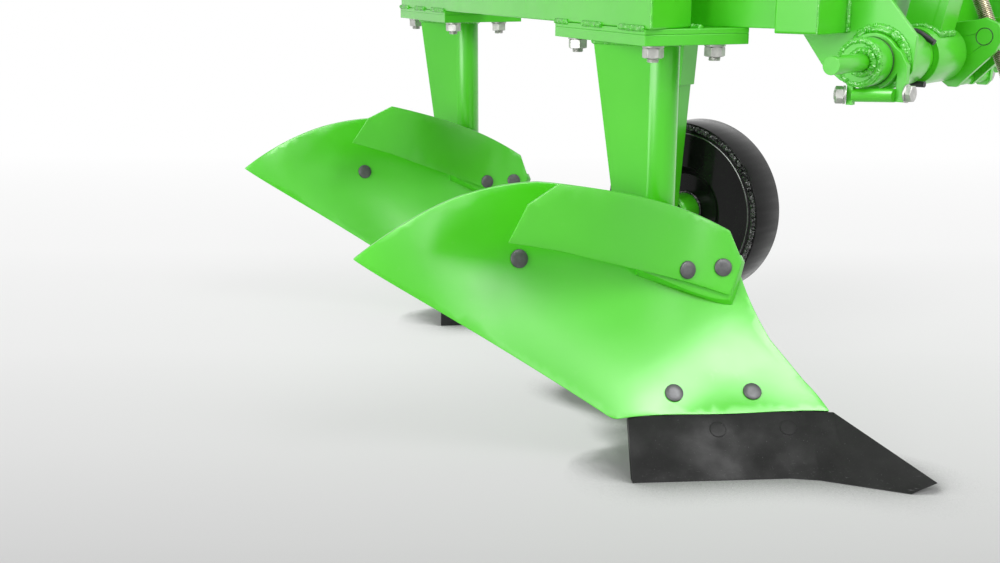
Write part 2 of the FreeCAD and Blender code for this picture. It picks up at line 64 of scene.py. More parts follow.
# %% Datum and the setting-out functions
PLATE_WIDTH = 152
BEAM_ANGLE = math.atan(0.5)
plate_low, plate_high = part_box("front_leg_plate")
DATUM = Vector((plate_high.x - PLATE_WIDTH * MM * math.sin(BEAM_ANGLE), plate_low.y, 0))
PLATE_BOTTOM = plate_low.z / MM
EDGE = Vector((0.692, 0.7217, 0))
BACK = Vector((-0.7217, 0.692, 0))
EDGE_B = 83.8  # how far back from the cutting edge the datum lies
BODIES = {"front": Vector((0, 0, 0)), "rear": Vector((-700, 350, 0))}


def at(f, l, z):
    """A point f forward, l left and z up from the datum, in millimetres."""
    return DATUM + Vector((f, l, z)) * MM


def edge_at(a, b, z):
    """A point along the cutting edge, square to it and back, and up."""
    flat = EDGE * a + BACK * (b - EDGE_B)
    return at(flat.x, flat.y, z)


def beam_at(along, across, z):
    """A point along the beam from the datum, square to it, and up."""
    back = Vector((-math.cos(BEAM_ANGLE), math.sin(BEAM_ANGLE)))
    left = Vector((math.sin(BEAM_ANGLE), math.cos(BEAM_ANGLE)))
    flat = back * along + left * across
    return at(flat.x, flat.y, z)


print("datum", [round(c, 4) for c in DATUM])

# %% [markdown]
# ## Node helpers
# Every finish below is a few nodes between Object coordinates and one Principled shader. Object
# coordinates don't slide when a body moves, and they keep the same scale on every piece, so paint
# on a bolt has the same grain as paint on the beam.

# %% Add nodes and fill their inputs


def fill(tree, node, inputs):
    """Sets each input of a node to a value, or links it to a socket."""
    for key, value in inputs.items():
        if isinstance(value, bpy.types.NodeSocket):
            tree.links.new(value, node.inputs[key])
        else:
            node.inputs[key].default_value = value
    return node


def add(tree, kind, inputs=None, **settings):
    """A node with its settings and its inputs."""
    node = tree.nodes.new(kind)
    for key, value in settings.items():
        setattr(node, key, value)
    return fill(tree, node, inputs or {})


def combine(tree, operation, first, second):
    """Two numbers made into one: MULTIPLY, MAXIMUM and so on."""
    return add(tree, "ShaderNodeMath", {0: first, 1: second}, operation=operation).outputs[0]


def blend(tree, factor, first, second, mode="MIX"):
    """Two colours mixed by a factor."""
    return add(tree, "ShaderNodeMix", {0: factor, 6: first, 7: second}, data_type="RGBA",
               blend_type=mode).outputs[2]


print("node helpers", [f.__name__ for f in (fill, add, combine, blend)])

# %% Noise, ramps and bumps


def new_material(name):
    """A material with its tree, its shader and its Object coordinates."""
    material = bpy.data.materials.new(name)
    material.use_nodes = True
    tree = material.node_tree
    shader = tree.nodes["Principled BSDF"]
    place = tree.nodes.new("ShaderNodeTexCoord").outputs["Object"]
    return material, tree, shader, place


def grain(tree, place, scale, detail, rough=0.5):
    return add(tree, "ShaderNodeTexNoise", {"Vector": place, "Scale": scale, "Detail": detail,
                                            "Roughness": rough}).outputs["Fac"]


def ramp(tree, value, stops):
    """Turns a number into greys or colours, by pairs of a position and what it gives there."""
    node = add(tree, "ShaderNodeValToRGB", {"Fac": value})
    elements = node.color_ramp.elements
    while len(elements) < len(stops):
        elements.new(0.5)
    for element, (position, colour) in zip(elements, stops):
        element.position = position
        element.color = (*colour, 1) if isinstance(colour, tuple) else (colour, colour, colour, 1)
    return node.outputs["Color"]


def bump(tree, height, distance, strength, normal=None):
    """A surface raised by a height, on top of an earlier normal if there is one."""
    inputs = {"Height": height, "Distance": distance, "Strength": strength}
    if normal:
        inputs["Normal"] = normal
    return add(tree, "ShaderNodeBump", inputs).outputs[0]


def rounded_normal(tree, radius):
    """A normal that turns gently round every edge, within a radius."""
    return add(tree, "ShaderNodeBevel", {"Radius": radius}, samples=6).outputs["Normal"]


def edge_mask(tree, rounded):
    """White where the rounded normal leans away from the true one: along sharp edges."""
    true = add(tree, "ShaderNodeNewGeometry").outputs["Normal"]
    same = add(tree, "ShaderNodeVectorMath", {0: rounded, 1: true}, operation="DOT_PRODUCT")
    return ramp(tree, same.outputs["Value"], [(0.72, 1.0), (0.985, 0.0)])


print("more helpers", [f.__name__ for f in (grain, ramp, bump, rounded_normal, edge_mask)])

# %% [markdown]
# ## Camera and light
# A product shot: a long lens a little above the beam, a white room and three soft boxes. The key
# stands high at the front, where the lower half of a board leans back far enough to mirror it,
# and that puts the pale sheen there. A glossy surface shows a lamp only in its mirror direction,
# so a lamp is placed by the angle it has to be seen at. The key alone is too small for the broad
# sheen of a real board, and a stronger one would bleach the paint. A large reflector card round
# it, which only glossy rays see, widens the sheen and leaves the level of the light as it was.

# %% Camera
scene = bpy.context.scene
CAMERA_TURN = math.radians(42.2)
CAMERA_DOWN = math.radians(14.23)
CAMERA_AT = at(916, -1281, 646)
LENS, SENSOR = 44.06, 36
back_view = Vector((math.sin(CAMERA_TURN) * math.cos(CAMERA_DOWN),
                    -math.cos(CAMERA_TURN) * math.cos(CAMERA_DOWN), math.sin(CAMERA_DOWN)))
bpy.ops.object.camera_add(location=CAMERA_AT)
camera = bpy.context.object
camera.data.lens = LENS
camera.data.sensor_width = SENSOR
camera.rotation_mode = "QUATERNION"
camera.rotation_quaternion = (-back_view).to_track_quat("-Z", "Y")
scene.camera = camera
print("camera at", [round(c, 3) for c in camera.location])

# %% Lamps
scene.view_settings.view_transform = "Standard"
AIM = Vector((0.15, -0.10, 0.30))
LAMP_DISTANCE = 3.2


def soft_box(name, azimuth, elevation, size, power):
    """A square lamp at a compass angle from +X and an angle above the floor."""
    turn, lift = math.radians(azimuth), math.radians(elevation)
    away = Vector((math.cos(turn) * math.cos(lift), math.sin(turn) * math.cos(lift),
                   math.sin(lift)))
    bpy.ops.object.light_add(type="AREA", location=AIM + away * LAMP_DISTANCE)
    lamp = bpy.context.object
    lamp.name = name
    lamp.data.shape = "SQUARE"
    lamp.data.size = size
    lamp.data.energy = power
    lamp.rotation_mode = "QUATERNION"
    lamp.rotation_quaternion = (-away).to_track_quat("-Z", "Y")
    return lamp


soft_box("key", -16, 48, 1.25, 33)
card = soft_box("reflector_card", -17, 48, 1.9, 55)
card.visible_diffuse = False  # a card shows in gloss and adds no light of its own
soft_box("right_side", -95, 14, 1.8, 54)
soft_box("low_front", 14, 18, 0.9, 15)

# %% The white room
ROOM_LIGHT, ROOM_SEEN = 0.48, 1.0
WHITE = (1, 1, 1, 1)
world = bpy.data.worlds.new("white_room")
scene.world = world
world.use_nodes = True
tree = world.node_tree
room = fill(tree, tree.nodes["Background"], {"Color": WHITE, "Strength": ROOM_LIGHT})
seen = add(tree, "ShaderNodeBackground", {"Color": WHITE, "Strength": ROOM_SEEN})
path = add(tree, "ShaderNodeLightPath").outputs
looks = path["Is Camera Ray"]
for kind in ("Is Glossy Ray", "Is Transmission Ray"):
    looks = combine(tree, "MAXIMUM", looks, path[kind])
mixed = add(tree, "ShaderNodeMixShader", {0: looks, 1: room.outputs[0], 2: seen.outputs[0]})
fill(tree, tree.nodes["World Output"], {"Surface": mixed.outputs[0]})
print("room gives", ROOM_LIGHT, "of light and is seen at", ROOM_SEEN)

# %% [markdown]
# ## The green paint
# Powder paint on steel: an even lime green with a glossy skin, a faint orange peel, and slow
# waves where the sheet under it isn't quite flat. Every edge is painted a little lighter green, a
# painted highlight along it. A Bevel node rounds the shading there by 1.2 mm, as thick paint does.

# %% Green paint


def green_paint():
    material, tree, shader, place = new_material("green_paint")
    tone = ramp(tree, grain(tree, place, 5, 2),
                [(0.3, (0.066, 0.585, 0.008)), (0.7, (0.084, 0.650, 0.013))])
    dust = ramp(tree, grain(tree, place, 60, 5, 0.65), [(0.62, 0.0), (0.86, 1.0)])
    dusty = blend(tree, 0.06, tone, (0.5, 0.62, 0.42, 1))
    colour = blend(tree, dust, tone, dusty)
    rounded = rounded_normal(tree, 0.0012)
    # edges painted a lighter green: a painted highlight along every edge
    edge_highlight = combine(tree, "MULTIPLY", edge_mask(tree, rounded), 0.35)
    colour = blend(tree, edge_highlight, colour, (0.22, 0.84, 0.13, 1))
    rough = ramp(tree, grain(tree, place, 22, 4), [(0.3, 0.30), (0.75, 0.40)])
    wave = bump(tree, grain(tree, place, 9, 2), 0.0016, 0.35, rounded)
    peel = bump(tree, grain(tree, place, 420, 2), 0.0001, 0.25, wave)
    fill(tree, shader, {"Base Color": colour, "Roughness": rough, "Normal": peel,
                        "Coat Weight": 0.65, "Coat Roughness": 0.26})
    return material


PAINT = green_paint()
print("paint nodes", len(PAINT.node_tree.nodes))

# %% [markdown]
# ## Black wheel paint, dark share steel and plated parts
# The wheel has the same gloss in black. The shares and landsides are rolled steel under a thin
# dark coat that rubs off first near the ground and along scratches; their edges are lighter,
# partly bare worn steel and partly a painted highlight. Bolts are zinc plated: a metal with a soft
# cloudy brightness, and every plated edge is painted pale as a highlight. The adjusting screw has
# a yellower plating, with painted shade in the hollows of its thread. The same few nodes with
# darker tones also make the plough bolts' heads, the grey lip of the wheel, the retaining rings,
# and a near-black that is painted shade in the shaft's groove and in the joint behind the share.

# %% Black gloss


def black_gloss():
    material, tree, shader, place = new_material("wheel_black")
    tone = ramp(tree, grain(tree, place, 14, 3), [(0.3, 0.003), (0.8, 0.008)])
    dust = ramp(tree, grain(tree, place, 300, 4, 0.7), [(0.66, 0.0), (0.8, 1.0)])
    dusty = blend(tree, 0.12, tone, (0.35, 0.35, 0.36, 1))
    rough = ramp(tree, grain(tree, place, 30, 4), [(0.3, 0.14), (0.8, 0.30)])
    peel = bump(tree, grain(tree, place, 240, 2), 0.00015, 0.3, rounded_normal(tree, 0.0015))
    fill(tree, shader, {"Base Color": blend(tree, dust, tone, dusty), "Roughness": rough,
                        "Normal": peel, "Specular IOR Level": 0.12, "Coat Weight": 0.15,
                        "Coat Roughness": 0.08})
    return material


BLACK = black_gloss()
print("wheel paint nodes", len(BLACK.node_tree.nodes))

# %% Share steel
RUB_HEIGHT = 0.022  # the rubbing fades out up to this height


def share_steel():
    material, tree, shader, place = new_material("share_steel")
    tone = ramp(tree, grain(tree, place, 16, 6, 0.6), [(0.25, 0.004), (0.5, 0.008), (0.8, 0.018)])
    height = add(tree, "ShaderNodeSeparateXYZ", {0: place}).outputs["Z"]
    low = add(tree, "ShaderNodeMapRange", {"Value": height, "From Min": 0.0,
                                           "From Max": RUB_HEIGHT, "To Min": 1.0,
                                           "To Max": 0.0}).outputs[0]
    stretched = add(tree, "ShaderNodeMapping", {"Vector": place, "Scale": (1, 1, 5),
                                                "Rotation": (0, 0, 0.8)}).outputs[0]
    rub = ramp(tree, grain(tree, stretched, 110, 8, 0.75), [(0.60, 0.0), (0.74, 1.0)])
    rubbed = combine(tree, "MULTIPLY", rub, low)
    specks = ramp(tree, grain(tree, place, 520, 3, 0.7), [(0.69, 0.0), (0.74, 1.0)])
    marks = combine(tree, "MULTIPLY", combine(tree, "MAXIMUM", rubbed, specks), 0.45)
    rounded = rounded_normal(tree, 0.0009)
    # edges painted lighter: partly bare worn steel, partly a painted highlight
    edge = combine(tree, "MULTIPLY", edge_mask(tree, rounded), 0.22)
    wear_and_edge_highlight = combine(tree, "MAXIMUM", marks, edge)
    rough = ramp(tree, grain(tree, place, 11, 4), [(0.38, 0.36), (0.62, 0.70)])
    rolled = bump(tree, grain(tree, place, 130, 6, 0.6), 0.0005, 0.35, rounded)
    fill(tree, shader, {"Base Color": blend(tree, wear_and_edge_highlight, tone, (0.34, 0.34, 0.345, 1)),
                        "Roughness": rough, "Normal": rolled, "Specular IOR Level": 0.20})
    return material


STEEL = share_steel()
print("steel nodes", len(STEEL.node_tree.nodes))

# %% Plated metals


def plated(name, dark, light, rough_low, rough_high, metallic=0.9, grooves=False):
    """Cloudy metal, edges painted pale as a highlight; grooves paints shade into thread hollows."""
    material, tree, shader, place = new_material(name)
    tone = ramp(tree, grain(tree, place, 90, 4, 0.6), [(0.3, dark), (0.72, light)])
    rounded = rounded_normal(tree, 0.0005)
    # edges painted near-white: a painted highlight on every plated edge
    edge_glint = combine(tree, "MULTIPLY", edge_mask(tree, rounded), 0.4)
    colour = blend(tree, edge_glint, tone, (0.9, 0.9, 0.88, 1))
    if grooves:
        # ambient occlusion darkens the thread's hollows: painted shade
        painted_groove_shade = add(tree, "ShaderNodeAmbientOcclusion", {"Distance": 0.004}, samples=8)
        depth = ramp(tree, painted_groove_shade.outputs["AO"], [(0.40, 0.30), (0.85, 1.0)])
        colour = blend(tree, 1.0, colour, depth, "MULTIPLY")
    rough = ramp(tree, grain(tree, place, 200, 4), [(0.3, rough_low), (0.8, rough_high)])
    pitted = bump(tree, grain(tree, place, 700, 2), 0.00006, 0.3, rounded)
    fill(tree, shader, {"Base Color": colour, "Roughness": rough, "Normal": pitted,
                        "Metallic": metallic})
    return material


ZINC = plated("zinc_plate", (0.44, 0.44, 0.42), (0.66, 0.66, 0.63), 0.34, 0.52)
THREAD = plated("yellow_plate", (0.62, 0.55, 0.38), (0.86, 0.80, 0.62), 0.22, 0.38, grooves=True)
BOLT_HEAD = plated("bolt_head_grey", (0.085, 0.085, 0.090), (0.14, 0.14, 0.145), 0.40, 0.55, 0.4)
# grey metal on the black wheel's lip, its edges painted pale: a painted highlight line
LIP = plated("lip_highlight_grey", (0.10, 0.10, 0.10), (0.20, 0.20, 0.20), 0.14, 0.26, 1.0)
RING_BLACK = plated("black_bar", (0.018, 0.016, 0.020), (0.045, 0.040, 0.050), 0.35, 0.5, 0.1)
# near-black used as painted shade in the shaft's groove and the joint behind the share
GAP_SHADE = plated("gap_shade_black", (0.004, 0.005, 0.004), (0.010, 0.012, 0.010), 0.6, 0.8, 0.0)
print("plated", [m.name for m in (ZINC, THREAD, BOLT_HEAD, LIP, RING_BLACK, GAP_SHADE)])

# %% [markdown]
# ## Painted welds
# Paint follows the ripples of a weld, so a seam glitters where a flat plate only shines. It has
# the colour of what it joins, with a finer bump and a sharper gloss, and pale flecks at random
# that are painted glints.

# %% Weld paint in green and in black


def weld_paint(name, low, high, glint_colour):
    material, tree, shader, place = new_material(name)
    tone = ramp(tree, grain(tree, place, 120, 3), [(0.3, low), (0.7, high)])
    # pale flecks at random: painted glints on the seam
    painted_glints = ramp(tree, grain(tree, place, 230, 4, 0.7), [(0.56, 0.0), (0.70, 1.0)])
    lumps = bump(tree, grain(tree, place, 260, 5, 0.6), 0.0016, 0.6)
    fill(tree, shader, {"Base Color": blend(tree, painted_glints, tone, (*glint_colour, 1)), "Roughness": 0.20,
                        "Coat Weight": 0.8, "Coat Roughness": 0.08, "Normal": lumps})
    return material


WELD_GREEN = weld_paint("weld_green", (0.05, 0.50, 0.008), (0.10, 0.66, 0.03), (0.42, 0.86, 0.34))
WELD_BLACK = weld_paint("weld_black", 0.003, 0.010, (0.16, 0.16, 0.16))
print("weld paints", WELD_GREEN.name, WELD_BLACK.name)

# %% [markdown]
# ## Finishes on the ready-made pieces
# The record names a material slot for every node. One table turns slots into finishes, so no
# node is forgotten.

# %% Paint the frame
FINISH = {"frame_paint": PAINT, "wheel_paint": BLACK, "share_steel": STEEL, "zinc": ZINC,
          "zinc_thread": THREAD, "spring_steel": RING_BLACK}
for part in frame["record"]["subparts"]:
    node = NODES[part["node"]]
    if not node.material_slots:
        node.data.materials.append(None)
    for slot in node.material_slots:
        slot.material = FINISH[part["material_slot"]]

# %% [markdown]
# ## Floor
# One large pale sheet. Its colour fades from light grey in front to white far behind, so that no
# horizon shows. To the camera most of it glows in that colour, which keeps it even and neutral
# under a green machine; the rest takes the real shadow, and close to whatever stands on it the
# glow is darkened: a painted contact shadow.

# %% The sheet and its fading tone
FLOOR_SIZE, FLOOR_DROP = 240, 0.0004  # just under the soles, so no two faces coincide
bpy.ops.mesh.primitive_plane_add(size=FLOOR_SIZE, location=(0, 0, -FLOOR_DROP))
floor = bpy.context.object
floor.name = "floor"
paper, tree, shader, place = new_material("floor_paper")
toward = Vector((-back_view.x, -back_view.y, 0)).normalized()
foot = Vector((camera.location.x, camera.location.y, 0))
moved = add(tree, "ShaderNodeVectorMath", {0: place, 1: foot}, operation="SUBTRACT").outputs[0]
depth = add(tree, "ShaderNodeVectorMath", {0: moved, 1: toward},
            operation="DOT_PRODUCT").outputs["Value"]
share_of_way = add(tree, "ShaderNodeMapRange", {"Value": depth, "From Min": 1.2, "From Max": 4.6})
tone = ramp(tree, share_of_way.outputs[0],
            [(0.0, 0.61), (0.034, 0.665), (0.116, 0.765), (0.252, 0.895), (0.486, 1.0)])
fill(tree, shader, {"Base Color": tone, "Roughness": 0.7, "Specular IOR Level": 0.1})
floor.data.materials.append(paper)
print("floor", floor.dimensions.x, "m wide")

# %% Its glow, with a painted contact shadow where something stands close
FLOOR_GLOW = 0.70
CONTACT_REACH = 0.09
painted_contact_shadow = add(tree, "ShaderNodeAmbientOcclusion", {"Distance": CONTACT_REACH}, samples=8)
# the glow darkens near whatever stands on the floor: a painted contact shadow
dark = ramp(tree, painted_contact_shadow.outputs["AO"], [(0.895, 0.20), (0.990, 1.0)])
glow = add(tree, "ShaderNodeEmission", {"Color": blend(tree, 1.0, tone, dark, "MULTIPLY"),
                                        "Strength": 1.0})
far = add(tree, "ShaderNodeMapRange", {"Value": depth, "From Min": 2.6, "From Max": 4.4,
                                       "To Min": FLOOR_GLOW, "To Max": 1.0})
path = add(tree, "ShaderNodeLightPath").outputs
looks = combine(tree, "MAXIMUM", path["Is Camera Ray"], path["Is Glossy Ray"])
amount = combine(tree, "MULTIPLY", far.outputs[0], looks)
mixed = add(tree, "ShaderNodeMixShader", {0: amount, 1: shader.outputs[0], 2: glow.outputs[0]})
fill(tree, tree.nodes["Material Output"], {"Surface": mixed.outputs[0]})
print("floor glows at", FLOOR_GLOW, "and darkens within", CONTACT_REACH, "m")

# %% [markdown]
# ## Working helpers
# Each piece starts as a primitive, is shaped in edit mode, and ends with its place in its mesh.
# Nothing may be selected by accident, so every step first clears the selection, and faces are
# picked by where they are or which way they look.

# %% Select and edit


def only(*objects):
    """Object mode, with just these objects selected."""
    if bpy.context.mode != "OBJECT":
        bpy.ops.object.mode_set(mode="OBJECT")
    bpy.ops.object.select_all(action="DESELECT")
    for item in objects:
        item.select_set(True)
    bpy.context.view_layer.objects.active = objects[0]


def edit(item, pick=None, kind="FACE"):
    """Edit mode with nothing selected but what pick chooses."""
    only(item)
    bpy.ops.object.mode_set(mode="EDIT")
    bpy.ops.mesh.select_mode(type=kind)
    bpy.ops.mesh.select_all(action="DESELECT")
    bpy.ops.object.mode_set(mode="OBJECT")
    chosen = {"FACE": item.data.polygons, "EDGE": item.data.edges, "VERT": item.data.vertices}[kind]
    for element in chosen:
        element.select = bool(pick and pick(element))
    bpy.ops.object.mode_set(mode="EDIT")


def leave():
    bpy.ops.object.mode_set(mode="OBJECT")


print("picking helpers ready")

# %% Settle, finish, smooth and coat


def settle(item):
    """Puts an object's place into its mesh and leaves it at the origin."""
    only(item)
    bpy.ops.object.transform_apply(location=True, rotation=True, scale=True)
    return item


def finish_with(item, kind, **settings):
    """Adds one modifier and applies it."""
    only(item)
    modifier = item.modifiers.new(kind.lower(), kind)
    for key, value in settings.items():
        setattr(modifier, key, value)
    bpy.ops.object.modifier_apply(modifier=modifier.name)
    return item


def smooth(item, degrees):
    only(item)
    bpy.ops.object.shade_smooth_by_angle(angle=math.radians(degrees))
    return item


def coat(item, material):
    item.data.materials.clear()
    item.data.materials.append(material)
    return item


def joined(name, *items):
    only(*items)
    if len(items) > 1:
        bpy.ops.object.join()
    bpy.context.object.name = name
    bpy.context.object.data.name = name
    return bpy.context.object


print("finishing helpers ready")

# %% Bars, hoops and copies


def cylinder(radius, depth, place, sides):
    bpy.ops.mesh.primitive_cylinder_add(vertices=sides, radius=radius, depth=depth, location=place)
    return bpy.context.object


def hoop(name, ring_radius, bar_radius, place, steps, sides):
    """A thin round bar bent to a ring, with its axis across the machine."""
    bpy.ops.object.select_all(action="DESELECT")
    bpy.ops.mesh.primitive_torus_add(major_radius=ring_radius, minor_radius=bar_radius,
                                     major_segments=steps, minor_segments=sides,
                                     location=place, rotation=(math.pi / 2, 0, 0))
    return joined(name, settle(bpy.context.object))


def stand(axis):
    """The turn that takes +Z to an axis."""
    return axis.to_track_quat("Z", "Y").to_matrix().to_4x4()


def copy_to(source, name, place, axis, body, spin=0.0):
    """A copy with its own mesh, set at a place with its +Z along an axis."""
    item = source.copy()
    item.data = source.data.copy()
    item.name = item.data.name = name
    scene.collection.objects.link(item)
    turn = Matrix.Rotation(spin, 4, "Z")
    item.data.transform(Matrix.Translation(place) @ stand(axis) @ turn)
    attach(item, body)
    return item


STORE = []


def store(item):
    """Keeps a pattern piece until its copies are made."""
    STORE.append(item)
    return item


print("making helpers ready")

# %% [markdown]
# ## Rounded edges
# The ready-made pieces come with knife-sharp edges and loose triangles. Sheared plate and folded
# tube have a small radius that catches a line of light. A Weld modifier joins the triangles and
# a Bevel modifier rounds only the sharp edges; the mesh underneath stays as it is.

# %% Round the edges of the ready-made pieces
PLATE_ROUND, JOIN_WITHIN, SHARP_FROM = 0.9, 0.00002, 38
WIDER = {"main_beam": 3.0, "cross_tube": 3.0, "side_rail": 2.5, "left_brace": 2.5,
         "wheel_stem": 2.0, "front_leg": 2.0, "rear_leg": 2.0, "right_mast_post": 2.5,
         "left_mast_post": 2.5, "wheel_hub": 8.0}
UNROUNDED = {"retaining_rings"}
for name, node in NODES.items():
    if name in UNROUNDED:
        continue
    join = node.modifiers.new("join", "WELD")
    join.merge_threshold = JOIN_WITHIN
    bevel = node.modifiers.new("round", "BEVEL")
    bevel.width = WIDER.get(name, PLATE_ROUND) * MM
    bevel.segments = 3
    bevel.limit_method = "ANGLE"
    bevel.angle_limit = math.radians(SHARP_FROM)
    bevel.harden_normals = True
    bevel.use_clamp_overlap = True
print("rounded", len(NODES) - len(UNROUNDED))

# %% [markdown]
# ## The hex nut, its washer and the bolt's end
# Four M16 bolts hold each leg under its beam plate, and their nuts show below. A real nut is a
# hexagon whose corners were turned off on a lathe, so its flats end in shallow arcs. The same is
# done here: a turned blank with a sloping rim, and a Boolean that keeps what it shares with the
# hexagonal bar.

# %% Hex blanks
BLANK_ROOM = 1.004  # the blank is this much wider than the corners, so no two skins coincide
SLOPE_REACH = 0.0004  # how far the sloping rim reaches in over the flats
HEX_DROP = 0.0012  # how far the corners fall away


def turned_blank(radius, height, rim, drop):
    """A disc whose both rims slope: rim is how far in, drop is how far down."""
    item = cylinder(radius, height - 2 * drop, (0, 0, height / 2), 48)
    for side in (1, -1):
        edit(item, lambda f: f.normal.z * side > 0.9)
        bpy.ops.mesh.inset(thickness=rim)
        bpy.ops.transform.translate(value=(0, 0, side * drop))
    leave()
    return settle(item)


def hexagon(across_flats, height):
    """A hex head or nut that stands on z = 0, its corners turned off."""
    corner = across_flats / 2 / math.cos(math.radians(30))
    blank = turned_blank(corner * BLANK_ROOM, height, corner - across_flats / 2 + SLOPE_REACH,
                         HEX_DROP)
    item = settle(cylinder(corner, height, (0, 0, height / 2), 6))
    finish_with(item, "BOOLEAN", operation="INTERSECT", object=blank, solver="EXACT")
    bpy.data.objects.remove(blank)
    return item


trial = hexagon(0.024, 0.013)
print("nut faces", len(trial.data.polygons), "height", round(trial.dimensions.z, 4))
bpy.data.objects.remove(trial)

# %% Washer


def washer(radius, bore, thickness):
    """A flat washer that stands on z = 0, with its edges just broken."""
    item = cylinder(radius, thickness, (0, 0, thickness / 2), 40)
    edit(item, lambda f: abs(f.normal.z) > 0.9)
    bpy.ops.mesh.inset(thickness=radius - bore)
    bpy.ops.mesh.delete(type="FACE")
    edit(item, lambda e: all(abs(math.hypot(*item.data.vertices[i].co.xy) - bore) < 1e-5
                             for i in e.vertices), "EDGE")
    bpy.ops.mesh.bridge_edge_loops()
    bpy.ops.mesh.select_all(action="SELECT")
    bpy.ops.mesh.normals_make_consistent(inside=False)
    leave()
    finish_with(item, "BEVEL", width=thickness * 0.14, segments=2)
    return settle(item)


trial = washer(0.014, 0.0083, 0.0035)
print("washer faces", len(trial.data.polygons), "width", round(trial.dimensions.x, 4))
bpy.data.objects.remove(trial)

# %% [markdown]
# ## Cut threads
# A thread is one small zigzag carried round and up. The Screw modifier does exactly that to an
# edge profile: one turn lifts it by one pitch. The open ends of the coil are closed, and a
# turned bar with sloping ends trims it, as a lathe would point the bolt.

# %% Threaded bar
THREAD_DEPTH = 0.62  # of the pitch
CREST = (0.42, 0.58)  # where the crest starts and ends, in parts of the pitch
BAR_ROOM, POINT_SLOPE = 1.01, 0.7


def threaded_bar(radius, pitch, length, steps=20, point=0.0012):
    """A bar with a cut thread from z = 0 to its pointed end at z = length."""
    bpy.ops.mesh.primitive_plane_add(size=1, location=(0, 0, 0))
    item = bpy.context.object
    edit(item)
    bpy.ops.mesh.select_all(action="SELECT")
    bpy.ops.mesh.delete(type="ONLY_FACE")
    leave()
    root = radius - THREAD_DEPTH * pitch
    profile = [(root, 0), (radius, CREST[0]), (root, 1.0), (radius, CREST[1])]
    for vertex, (reach, rise) in zip(item.data.vertices, profile):
        vertex.co = (reach, 0, (rise - 2) * pitch)
    edit(item, lambda e: {round(item.data.vertices[i].co.x, 6) for i in e.vertices}
         == {round(root, 6)}, "EDGE")
    bpy.ops.mesh.delete(type="EDGE_FACE")
    leave()
    turns = int(length / pitch) + 4
    finish_with(item, "SCREW", axis="Z", angle=2 * math.pi, screw_offset=pitch, iterations=turns,
                steps=steps, render_steps=steps, use_merge_vertices=True, merge_threshold=1e-6)
    edit(item)
    bpy.ops.mesh.select_all(action="SELECT")
    bpy.ops.mesh.remove_doubles(threshold=1e-6)
    bpy.ops.mesh.fill_holes(sides=0)
    bpy.ops.mesh.normals_make_consistent(inside=False)
    leave()
    bar = cylinder(radius * BAR_ROOM, length, (0, 0, length / 2), 48)
    edit(bar, lambda f: f.normal.z > 0.9)
    bpy.ops.mesh.inset(thickness=point)
    bpy.ops.transform.translate(value=(0, 0, point * POINT_SLOPE))
    leave()
    settle(bar)
    finish_with(item, "BOOLEAN", operation="INTERSECT", object=bar, solver="EXACT")
    bpy.data.objects.remove(bar)
    return item


trial = threaded_bar(0.008, 0.002, 0.020)
print("bolt end faces", len(trial.data.polygons), "size", [round(d, 4) for d in trial.dimensions])
bpy.data.objects.remove(trial)

# %% [markdown]
# ## The bolts that carry the legs
# Nut, washer and bolt end are joined into one fastener that points down, then copied
# under the plates. Four bolts go through each pair of plates, near the corners. Their flat heads
# sit flush in the upper plate, so only the nuts show.

# %% One nut with its washer and bolt end
M16_SIZES = {"across_flats": 0.024, "height": 0.013, "thread": 0.008, "washer_radius": 0.0140,
             "washer_thick": 0.0035}
M12_SIZES = {"across_flats": 0.019, "height": 0.010, "thread": 0.006, "washer_radius": 0.0115,
             "washer_thick": 0.0025}
NUT_SMOOTH = 32


def joined_nut(name, across_flats, height, thread, washer_radius, washer_thick, shown):
    """A fastener standing on z = 0: washer, nut, and the thread that comes through."""
    disc = washer(washer_radius, thread * 1.04, washer_thick)
    nut = hexagon(across_flats, height)
    nut.data.transform(Matrix.Translation((0, 0, washer_thick)))
    end = threaded_bar(thread, thread * 0.25, washer_thick + height + shown, point=thread * 0.15)
    item = joined(name, disc, nut, end)
    coat(item, ZINC)
    return store(smooth(item, NUT_SMOOTH))


M16_NUT = joined_nut("m16_nut", shown=0.0045, **M16_SIZES)
M12_NUT = joined_nut("m12_nut", shown=0.0035, **M12_SIZES)
M12_FLUSH = joined_nut("m12_flush_nut", shown=0.0005, **M12_SIZES)
print("nut tris about", len(M16_NUT.data.polygons) * 2)

# %% One bolt head with its washer


def joined_head(name, across_flats, height, washer_radius, washer_thick):
    """A bolt's head standing on its washer, on z = 0."""
    disc = washer(washer_radius, across_flats * 0.34, washer_thick)
    head = hexagon(across_flats, height)
    head.data.transform(Matrix.Translation((0, 0, washer_thick)))
    item = joined(name, disc, head)
    coat(item, ZINC)
    return store(smooth(item, NUT_SMOOTH))


M12_HEAD = joined_head("m12_head", across_flats=0.019, height=0.0075, washer_radius=0.0115,
                       washer_thick=0.0025)
print("head stands", round(M12_HEAD.dimensions.z, 4), "m high")

# %% Set the nuts under both pairs of plates
DOWN, UP = Vector((0, 0, -1)), Vector((0, 0, 1))
PLATE_BOLTS = [(24, 25), (24, 116), (254, 25), (254, 116)]
SPINS = [55, 46, 10, 20, 56, 18, 23, 25]  # degrees: each nut stopped where it was tight
count = 0
for body, offset in BODIES.items():
    for index, (along, across) in enumerate(PLATE_BOLTS):
        under = beam_at(along, across, PLATE_BOTTOM) + offset * MM
        spin = math.radians(SPINS[count])
        copy_to(M16_NUT, f"{body}_leg_nut_{index + 1}", under, DOWN, "frame", spin)
        count += 1
print("leg bolts", count)

# %% [markdown]
# ## Plough bolts
# Boards, deflectors and shares are held by bolts with a wide low head, so that soil slides over
# them. The head is a thin disc with a broken edge, dark from its heat treatment, and on the share
# it is almost flush. A nut closes each one behind a board or a deflector. Behind the share the
# nuts are hidden, and they aren't made. The ready-made piece's own surface gives the place and
# the slope.

